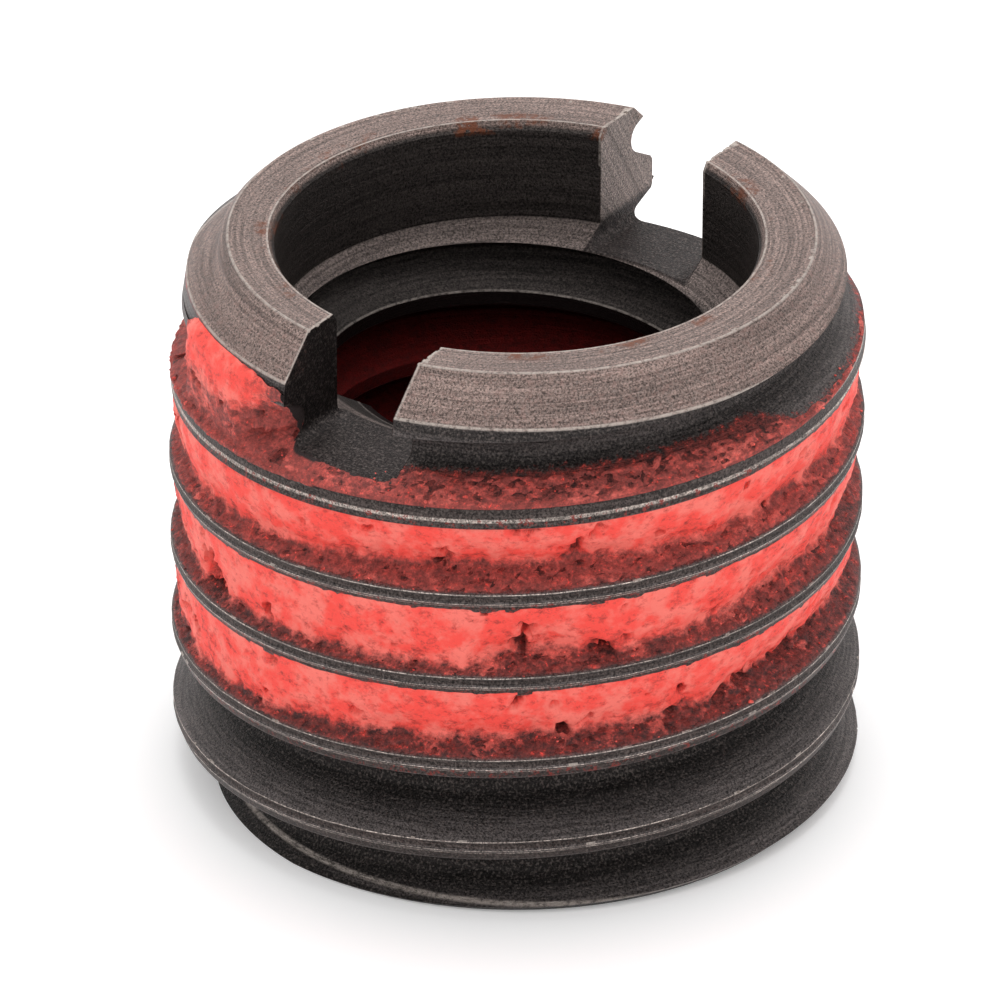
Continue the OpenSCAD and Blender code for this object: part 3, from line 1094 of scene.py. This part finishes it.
        # the slot's walls and the ring are flat
        wall = np.abs(np.abs(middle[:, 1] + self.slot.offset) - self.slot.width / 2) < 0.004
        ring = np.abs(middle[:, 2] - self.length) < 0.02
        body.data.polygons.foreach_set("use_smooth", ~(wall | ring | (chip > 0)))
        body.data.set_sharp_from_angle(angle=math.radians(32))
        body.data.materials.clear()
        body.data.materials.append(self.finish.material(self))
        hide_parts(Node.STEEL.value)
        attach(body, BODY)
        return body

    def mouth_outline(self) -> list[tuple[float, float]]:
        """Give the half section of the counterbore, its mouth bevel and the cone that it ends in.

        Returns:
            Corners of radius and height.
        """
        floor = self.length - self.counterbore_depth
        tip = self.inner.crest_r - 1
        cone = (self.counterbore_r - tip) / math.tan(self.cone / 2)
        return [
            (0, floor - cone), (tip, floor - cone), (self.counterbore_r - 0.06, floor - 0.03),
            (self.counterbore_r, floor + 0.02), (self.counterbore_r, self.length - self.mouth_depth),
            (self.counterbore_r + self.mouth_bevel * 0.85, self.length - self.mouth_depth * 0.12),
            (self.counterbore_r + self.mouth_bevel + 0.03, self.length + 0.05),
            (self.counterbore_r + self.mouth_bevel + 0.03, self.length + 1), (0, self.length + 1),
        ]


@dataclass
class LockingCompound:
    """The bead of dried compound that lies under the crests, wound down the groove."""

    body: InsertBody
    finish: CompoundFinish = field(default_factory=CompoundFinish)
    start: float = 180.0
    top: float = 13.53
    turns: float = 3.45
    steps: int = 540
    # the face's row at which each control point of its curve lies, and how whole the compound is there:
    # seven points on the bead, two on its edge and five on the thin skin below it
    control_rows: tuple[int, ...] = (0, 2, 5, 10, 16, 22, 26, 28, 30, 33, 36, 39, 42, 43)
    full: tuple[float, ...] = (1, 1, 1, 1, 1, 0.95, 0.8, 0.6, 0.5, 0.4, 0.35, 0.35, 0.3, 0.2)
    # radius, and height over the groove's middle, of the points just inside the steel that the bead lies on
    bed: Outline = (
        (9.2, 0.97), (9.15, 0.88), (8.85, 0.74), (8.5, 0.6), (8.1, 0.42), (7.9, 0.1), (7.92, -0.2), (8.0, -0.4),
        (8.1, -0.5),
    )
    # points deeper in the steel that close the sections of the bead and of the crust
    bead_back: Outline = ((8.9, -1.0), (8.2, -0.75), (7.7, -0.3), (7.7, 0.3), (8.3, 0.75), (9.0, 1.02))
    crust_back: Outline = ((9.0, -1.15), (8.1, -0.65))
    # where the skin under the crest's lip ends, out along the flank
    skin_end: float = 1.33
    # turns from the start, and how far the bead's lower edge lies out along the rising flank there
    reach: Outline = (
        (0.0, 1.05), (0.08, 0.95), (0.14, 1.1), (0.3, 0.8), (0.69, 0.78), (0.75, 0.6), (0.81, 0.7),
        (0.87, 0.36), (0.93, 0.33), (0.98, 0.5), (1.02, 0.72), (1.1, 0.85), (1.4, 0.6), (1.72, 0.65),
        (1.76, 0.5), (1.82, 0.8), (1.86, 0.84), (1.885, 0.45), (1.91, 0.42), (1.93, 1.0), (1.96, 0.88),
        (2.03, 0.94), (2.1, 0.87), (2.4, 0.6), (2.7, 0.6), (2.75, 0.34), (2.81, 0.6), (2.9, 0.54),
        (2.97, 0.66), (3.03, 0.95), (3.1, 1.0), (3.45, 0.6),
    )
    # turns from the start at which the swollen start of the bead ends, and over which it does
    swell_end: float = 0.13
    swell_fade: float = 0.02
    # turns from the start, and the share of the bead that is left there
    thinning: Outline = ((0.028, 0.3), (0.045, 0.75), (0.06, 1), (0.108, 1), (0.13, 0.25), (0.175, 0.25), (0.215, 1))
    # bearing in degrees, and the share of the bead's full colour that scuffing left there
    scuffs: Outline = ((98, 1), (114, 0.5), (124, 0.5), (140, 1))
    # turns from the start, and how far the crust's upper edge lies out along the flank there
    crust_edge: Outline = ((-0.35, 1.2), (-0.27, 1.14), (-0.25, 1.05), (-0.235, 0.78), (-0.18, 0.35), (-0.02, 0.12))
    crust_rows: int = 22
    # places where the bead is broken or dented: angle, height, radius across and depth as a share
    dents: tuple[tuple[float, float, float, float], ...] = (
        (214.6, 8.25, 0.22, 0.6), (229.0, 7.95, 0.2, 0.5), (250.8, 5.5, 0.3, 0.7), (268.4, 6.0, 0.36, 0.8),
        (279.0, 5.6, 0.4, 0.9), (241.5, 5.6, 0.2, 0.5), (151.0, 8.0, 0.3, 0.8), (133.0, 10.7, 0.4, 1.0),
        (292.0, 8.3, 0.5, 1.0), (222.0, 5.6, 0.2, 0.5), (201.0, 11.0, 0.14, 0.4), (216.0, 11.9, 0.13, 0.4),
        (228.0, 11.95, 0.12, 0.4),
    )
    small_dents: int = 150
    seed: int = 5

    def flank_point(self, along: np.ndarray, lift: float) -> np.ndarray:
        """Give points on the rising flank below the groove.

        Args:
            along: distances out along the flank from the root.
            lift: distance off the flank's surface.

        Returns:
            Radius and height from the groove's middle.
        """
        thread = self.body.outer
        arc, sweep = thread.root_arc, math.pi / 2 - thread.flank
        r0 = thread.root_r + arc - arc * math.cos(sweep)
        z0 = -arc * math.sin(sweep)
        c, s = math.cos(thread.flank), math.sin(thread.flank)
        return np.stack([r0 + c * along + s * lift, z0 - s * along + c * lift], -1)

    def rows(self, parts: list[np.ndarray]) -> np.ndarray:
        """Spread control points over the face's rows and smooth them.

        Args:
            parts: one array of radius and height over the sections for each control point.

        Returns:
            Face rows, shaped sections by rows by 2.
        """
        controls = np.stack(parts, 1)
        at = np.interp(np.arange(self.control_rows[-1] + 1), self.control_rows, np.arange(len(self.control_rows)))
        low = np.minimum(at.astype(int), len(self.control_rows) - 2)
        f = (at - low)[None, :, None]
        out = controls[:, low] * (1 - f) + controls[:, low + 1] * f
        for _ in range(2):
            out[:, 1:-1] = (out[:, :-2] + 2 * out[:, 1:-1] + out[:, 2:]) / 4
        return out

    def wind(
        self, name: str, t: np.ndarray, face: np.ndarray, back: Outline, full: np.ndarray
    ) -> bpy.types.Object:
        """Wind sections round the axis into a closed, smooth-shaded piece.

        Args:
            name: the piece's name.
            t: each section's turns from the start.
            face: the sections' outer rows.
            back: points that close each section inside the steel.
            full: how whole the compound is at each point of the face.

        Returns:
            The piece, with the drive slot cut through it.
        """
        angle, height = self.place(t)
        ring = np.concatenate([face, np.repeat(np.array(back)[None], len(t), 0)], 1)
        rows = ring.shape[1]
        points = np.empty((len(t), rows, 3))
        points[..., 0] = ring[..., 0] * np.cos(angle)[:, None]
        points[..., 1] = ring[..., 0] * np.sin(angle)[:, None]
        points[..., 2] = ring[..., 1] + height[:, None]
        at = np.arange(len(t) * rows).reshape(len(t), rows)
        nxt = np.roll(at, -1, axis=1)
        faces = np.stack([at[:-1], at[1:], nxt[1:], nxt[:-1]], -1).reshape(-1, 4).tolist()
        faces += [at[0].tolist(), at[-1][::-1].tolist()]
        mesh = mesh_from(name, points.reshape(-1, 3), faces)
        level = np.concatenate([full, np.zeros((len(t), len(back)))], 1)
        mesh.attributes.new("full", "FLOAT", "POINT").data.foreach_set("value", level.ravel().astype(np.float32))
        piece = put(name, mesh)
        shape(piece, self.body.slot.mesh(self.body.length, 0.03), Cut.REMOVE)
        for polygon in piece.data.polygons:
            polygon.use_smooth = True
        piece.data.set_sharp_from_angle(angle=math.radians(60))
        piece.data.materials.clear()
        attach(piece, BODY)
        return piece

    def place(self, t: np.ndarray) -> tuple[np.ndarray, np.ndarray]:
        """Give the angle in radians and the groove's height at turns from the start."""
        return np.radians(self.start - 360 * t), self.top - self.body.outer.pitch * t

    def sections(self, t: np.ndarray, swell: np.ndarray) -> tuple[np.ndarray, np.ndarray]:
        """Draw the bead's sections, with nothing broken off, and the bed that they lie on.

        Args:
            t: each section's turns from the start.
            swell: how far the bead swells out over the land there, from 0 to 1.

        Returns:
            Rows of the face and rows of the bed.
        """
        drift, fat, rough, ragged, torn = (
            np.array([noise.noise(Vector((x * f, f, 0))) for x in t]) for f in (7.0, 11.0, 40.0, 60.0, 150.0)
        )
        reach = np.interp(t, *np.array(self.reach).T) + 0.08 * drift + 0.1 * ragged + 0.08 * torn
        reach = np.clip(reach, 0.12, 1.2)
        bulge = 1 + 0.14 * fat
        land = 1.24 + self.body.outer.pitch * t
        top = np.stack([9.34 - 0.62 * swell, 1.0 + (land - 1.0) * swell], -1)
        rim = np.stack([9.37 - 0.43 * swell, 0.93 + (land - 1.0) * swell + 0.04 * rough], -1)
        brow_r = 9.33 - 0.12 * swell - 0.1 * np.clip(bulge - 0.9, 0, 1)
        brow = np.stack([brow_r, 0.72 + (land - 1.1) * swell], -1)
        edge = self.flank_point(reach, 0.16 + 0.06 * rough)
        parts = [top, rim, brow]
        for share in (0.3, 0.55, 0.8):
            part = brow * (1 - share) + edge * share
            part[:, 0] += 0.4 * share * (1 - share) * (bulge - 0.4)
            parts.append(part)
        skin = [reach + 0.14 + (self.skin_end - reach - 0.14) * f for f in (0, 0.3, 0.6, 1)]
        parts += [edge, self.flank_point(reach + 0.05, 0.09), self.flank_point(reach + 0.1, 0.05)]
        parts += [self.flank_point(q, 0.02) for q in skin] + [self.flank_point(skin[-1] + 0.03, -0.05)]
        under = [np.stack([np.full_like(t, r), np.full_like(t, h)], -1) for r, h in self.bed]
        under += [self.flank_point(q, -0.07) for q in skin] + [self.flank_point(skin[-1] + 0.03, -0.1)]
        return self.rows(parts), self.rows(under)

    def trimmed(
        self, face: np.ndarray, angle: np.ndarray, height: np.ndarray, swell: np.ndarray
    ) -> np.ndarray:
        """Keep the bead, past its swollen start, under the turned end, which is narrower than the crests.

        Args:
            face: the face's rows.
            angle: each section's angle in radians.
            height: each section's groove height.
            swell: how far the bead swells out over the land there, from 0 to 1.

        Returns:
            The face's radii.
        """
        end = self.body.end
        slope = (self.body.outer.crest_r - end.lead_r) / (end.lead - end.chamfer)
        limit = end.lead_r + slope * (self.body.length - end.chamfer - face[..., 1] - height[:, None])
        limit += (end.centre[0] * np.cos(angle) + end.centre[1] * np.sin(angle) - 0.05 + 0.3 * swell)[:, None]
        return np.where(face[..., 1] > 0, np.minimum(face[..., 0], limit), face[..., 0])

    def build(self) -> bpy.types.Object:
        """Build the bead and dress it.

        Returns:
            The bead's object.
        """
        t = np.arange(round(self.turns * self.steps) + 1) / self.steps
        angle, height = self.place(t)
        # at its start the bead swells out over the land, right up to the chamfer
        swell = np.clip((self.swell_end - t) / self.swell_fade, 0, 1)
        face, under = self.sections(t, swell)
        broad, medium, fine = self.lumps(angle, height, face)
        shown = self.cover(angle, height, face, t, 0.7 * broad + 0.9 * medium)
        row = np.arange(face.shape[1])
        whole = np.interp(row, self.control_rows, self.full)[None]
        # the bead is lumpy, its skin only just covers the steel, and the row under the crest stays put
        bump = broad * 0.05 + medium * 0.05 + fine * 0.022
        bump = np.where(whole > 0.55, bump, medium * 0.05 + fine * 0.04)
        bump *= np.interp(row, (0, 3, 8, row[-1]), (0, 0.3, 1, 1))[None]
        across = np.gradient(face, axis=1)
        across /= np.linalg.norm(across, axis=2, keepdims=True) + 1e-9
        normal = np.stack([-across[..., 1], across[..., 0]], -1)
        face = under + (face - under) * shown[..., None]
        face += normal * (bump * np.clip(shown * 2 - 1, 0, 1))[..., None]
        face[..., 0] = self.trimmed(face, angle, height, swell)
        # at the left of the picture each turn is scuffed to a dull skin, and so is the lower half of its start
        bearing = np.degrees(angle)[:, None] % 360 + 14 * broad + 5 * medium
        scuff = np.interp(bearing, *np.array(self.scuffs).T)
        start = np.clip((self.swell_end + 0.01 - t) / self.swell_fade, 0, 1)
        scuff *= 1 - start[:, None] * np.interp(row, (9, 17), (0, 0.5))[None]
        bead = self.wind("dried_compound_bead", t, face, self.bead_back, whole * shown * scuff)
        bead.data.materials.append(self.finish.material())
        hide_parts(Node.COMPOUND.value)
        return bead

    def smear(self, material: bpy.types.Material) -> bpy.types.Object:
        """Build the crust on the flank before the bead's start, where only a skin of it stuck.

        Args:
            material: the compound's material.

        Returns:
            The crust's object.
        """
        t = np.arange(round(self.crust_edge[0][0] * self.steps), 6) / self.steps
        angle, height = self.place(t)
        inner = np.interp(t, *np.array(self.crust_edge).T)
        inner += 0.12 * np.array([noise.noise(Vector((x * 90.0, 3.3, 0))) for x in t])
        inner = np.clip(inner, 0.05, 1.25)
        last = self.crust_rows - 1
        row = np.arange(self.crust_rows)
        face = np.stack([self.flank_point(inner + (self.skin_end - inner) * k / last, 0.0) for k in row], 1)
        _, medium, fine = self.lumps(angle, height, face)
        fade = np.minimum(row / 3, (last - row) / 1.5).clip(0, 1)[None]
        lift = (0.012 + medium * 0.06 + fine * 0.05) * fade - 0.05 * (1 - fade)
        slope = self.body.outer.flank
        face = face + lift[..., None] * np.array([math.sin(slope), math.cos(slope)])
        full = np.broadcast_to(0.42 * fade, lift.shape)
        crust = self.wind("dried_compound_crust", t, face, self.crust_back, full)
        crust.data.materials.append(material)
        return crust

    def cover(
        self, angle: np.ndarray, height: np.ndarray, face: np.ndarray, t: np.ndarray, lump: np.ndarray
    ) -> np.ndarray:
        """Work out how much of the bead is there.

        Args:
            angle: each section's angle in radians.
            height: each section's groove height.
            face: the face's rows.
            t: turns from the start.
            lump: uneven values over the face, which make the breaks ragged.

        Returns:
            A share from 0 to 1 for each point of the face.
        """
        # it thins out towards the slot, and again where its swollen start ends
        thin = np.interp(t[:, None] + 0.008 * lump, *np.array(self.thinning).T)
        skin = np.interp(t, (0, 0.01, self.turns - 0.05, self.turns), (0, 1, 1, 0))
        upper = np.arange(face.shape[1]) < self.control_rows[7]
        shown = skin[:, None] * np.where(upper[None], thin, 1.0)
        z = face[..., 1] + height[:, None]
        rng = random.Random(self.seed)
        ranges = ((0, 360), (4.5, 13.5), (0.06, 0.15), (0.3, 0.6))
        small = [[rng.uniform(*limits) for limits in ranges] for _ in range(self.small_dents)]
        for spot, level, size, depth in (*self.dents, *small):
            turn = np.abs((np.degrees(angle)[:, None] - spot + 180) % 360 - 180)
            away = np.hypot(np.radians(turn) * 8.9, z - level) * (1 + lump)
            shown *= 1 - depth * np.exp(-((away / size) ** 4))
        # the slot's +X end is clean
        end = np.abs((np.degrees(angle) + 180) % 360 - 180)
        clean = np.clip((end - 13) / 3, 0, 1)
        shown *= np.where((t > 0.3) & (t < 0.7), clean, 1.0)[:, None]
        return shown

    def lumps(self, angle: np.ndarray, height: np.ndarray, face: np.ndarray) -> list[np.ndarray]:
        """Work out the unevenness of the dried surface, from broad to fine.

        Args:
            angle: each section's angle in radians.
            height: each section's groove height.
            face: the face's rows.

        Returns:
            Values from -1 to 1 over the face, for lumps of about 0.8, 0.25 and 0.1 mm.
        """
        x = face[..., 0] * np.cos(angle)[:, None]
        y = face[..., 0] * np.sin(angle)[:, None]
        z = face[..., 1] + height[:, None]
        flat = np.stack([x, y, z], -1).reshape(-1, 3)
        size = face.shape[:2]
        return [np.array([noise.noise(Vector(p) * f) for p in flat]).reshape(size) for f in (1.3, 4.5, 11.0)]


@dataclass
class CompoundCrumbs:
    """Flakes and grains of the compound that stuck to the faces below the bead."""

    compound: LockingCompound
    material: bpy.types.Material
    count: int = 900
    crumb: Lump = Lump(1, (0.7, 1.6), (0.5, 1.0), 3, 0.2)
    seed: int = 21

    def build(self) -> bpy.types.Object:
        """Build the crumbs and dress them.

        Returns:
            The crumbs' object.
        """
        rng = random.Random(self.seed)
        thread = self.compound.body.outer
        work = bmesh.new()
        for _ in range(self.count):
            t = rng.uniform(-0.35, self.compound.turns + 0.12)
            along = rng.uniform(0.4, 1.36) if t > -0.14 else rng.uniform(1.0, 1.36)
            r, h = self.compound.flank_point(np.array([along]), 0.0)[0]
            a = math.radians(self.compound.start - 360 * t)
            z = self.compound.top - thread.pitch * t + h
            size = rng.uniform(0.015, 0.045) * (2.0 if rng.random() < 0.06 else 1.0)
            self.crumb.add(work, rng, Vector((r * math.cos(a), r * math.sin(a), z)), size)
        mesh = finished(work, "dried_compound_crumbs")
        mesh.attributes.new("full", "FLOAT", "POINT")
        level = [rng.uniform(0.3, 1.0) for _ in range(len(mesh.vertices))]
        mesh.attributes["full"].data.foreach_set("value", level)
        crumbs = put("dried_compound_crumbs", mesh)
        crumbs.data.materials.append(self.material)
        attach(crumbs, BODY)
        return crumbs


@dataclass(frozen=True)
class Studio:
    """A white floor, an even white surround and one large soft lamp, with the camera of the picture."""

    # the frame and the distance of the focal point in pixels, and the camera's sensor, tilt and roll
    frame: int = 1000
    focal: float = 10095.7501
    sensor: float = 36.0
    pitch: float = 0.513342951
    roll: float = 0.00115896645
    # camera's place in crest radii from the middle of the slotted face
    place: tuple[float, float, float] = (-0.046748333, 25.4154926, 13.4572908)
    crest_r: float = 9.45
    turn: float = math.radians(-56)
    floor: str = "#fdfcfc"
    # plain white that the camera sees on top of the lit floor, so that only the shadow shows
    glow: float = 0.14
    surround: float = 1.0
    lamp: float = 0.1
    lamp_size: float = 120.0
    lamp_place: tuple[float, float, float] = (36.0, 20.0, 150.0)
    # the middle of the insert, which the lamp faces
    lamp_aim: tuple[float, float, float] = (0.0, 0.0, 8.0)
    floor_reach: float = 400.0

    def camera(self, length: float) -> None:
        """Set up the camera.

        Args:
            length: the insert's length.
        """
        lens = bpy.data.cameras.new("camera")
        lens.sensor_width = self.sensor
        lens.lens = self.focal / self.frame * self.sensor
        lens.clip_end = 10
        eye = bpy.data.objects.new("camera", lens)
        bpy.context.scene.collection.objects.link(eye)
        cp, sp = math.cos(self.pitch), math.sin(self.pitch)
        cr, sr = math.cos(self.roll), math.sin(self.roll)
        look, up, right = Vector((0, cp, -sp)), Vector((0, sp, cp)), Vector((1, 0, 0))
        stand = Matrix((cr * right + sr * up, cr * up - sr * right, -look)).transposed().to_4x4()
        x, y, z = self.place
        stand.translation = Vector((x * self.crest_r, -y * self.crest_r, length + z * self.crest_r)) * MM
        eye.matrix_world = Matrix.Rotation(self.turn, 4, "Z") @ stand
        bpy.context.scene.camera = eye

    def seen(self, tree: bpy.types.NodeTree) -> Socket:
        """Tell the rays that come from the camera, a mirror or glass.

        Args:
            tree: the node tree that reads it.

        Returns:
            A socket that is 1 for them and 0 for the others.
        """
        path = add_node(tree, "LightPath").node.outputs
        seen = path["Is Camera Ray"]
        for ray in ("Is Glossy Ray", "Is Transmission Ray"):
            seen = add_node(tree, "Math", {0: seen, 1: path[ray]}, operation="MAXIMUM")
        return seen

    def backdrop(self) -> None:
        """Lay the floor, white to the camera but keeping the shadow."""
        size = self.floor_reach * MM
        mesh = bpy.data.meshes.new("floor")
        corners = [(x * size, y * size, 0) for x, y in ((-1, -1), (1, -1), (1, 1), (-1, 1))]
        mesh.from_pydata(corners, [], [(0, 1, 2, 3)])
        floor = put("floor", mesh)
        material = bpy.data.materials.new("white_paper_floor")
        material.use_nodes = True
        tree = material.node_tree
        shader = tree.nodes["Principled BSDF"]
        shader.inputs["Base Color"].default_value = linear(self.floor)
        shader.inputs["Roughness"].default_value = 0.9
        shader.inputs["Specular IOR Level"].default_value = 0.0
        share = add_node(tree, "Math", {0: self.seen(tree), 1: self.glow}, operation="MULTIPLY")
        white = add_node(tree, "Emission", {"Color": (1, 1, 1, 1), "Strength": share})
        mixed = add_node(tree, "AddShader", {0: shader.outputs[0], 1: white})
        tree.links.new(mixed, tree.nodes["Material Output"].inputs["Surface"])
        mesh.materials.append(material)

    def light(self) -> None:
        """Set the surround and hang the soft lamp."""
        world = bpy.data.worlds.new("surround")
        bpy.context.scene.world = world
        world.use_nodes = True
        tree = world.node_tree
        around = tree.nodes["Background"]
        around.inputs["Color"].default_value = (1, 1, 1, 1)
        around.inputs["Strength"].default_value = self.surround
        white = add_node(tree, "Background", {"Color": (1, 1, 1, 1), "Strength": 1.0})
        mixed = add_node(tree, "MixShader", {0: self.seen(tree), 1: around.outputs[0], 2: white})
        tree.links.new(mixed, tree.nodes["World Output"].inputs["Surface"])
        lamp = bpy.data.lights.new("soft_lamp", "AREA")
        lamp.shape = "DISK"
        lamp.size = self.lamp_size * MM
        lamp.energy = self.lamp
        hung = bpy.data.objects.new("soft_lamp", lamp)
        hung.location = Vector(self.lamp_place) * MM
        hung.rotation_euler = (Vector(self.lamp_aim) * MM - hung.location).to_track_quat("-Z", "Y").to_euler()
        bpy.context.scene.collection.objects.link(hung)

    def build(self, length: float) -> None:
        """Set up camera, floor and light.

        Args:
            length: the insert's length.
        """
        bpy.context.scene.view_settings.view_transform = "Standard"
        self.camera(length)
        self.backdrop()
        self.light()


def main() -> None:
    """Build the pieces in order and report each one."""
    logging.basicConfig(level=logging.INFO, format="%(message)s", stream=sys.stdout)
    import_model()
    body = InsertBody()
    Studio().build(body.length)
    steel = body.build()
    compound = LockingCompound(body)
    bead = compound.build()
    crust = compound.smear(bead.data.materials[0])
    crumbs = CompoundCrumbs(compound, bead.data.materials[0]).build()
    for piece in (steel, bead, crust, crumbs):
        LOG.info("%s: %d faces", piece.name, len(piece.data.polygons))


if __name__ == "__main__":
    main()
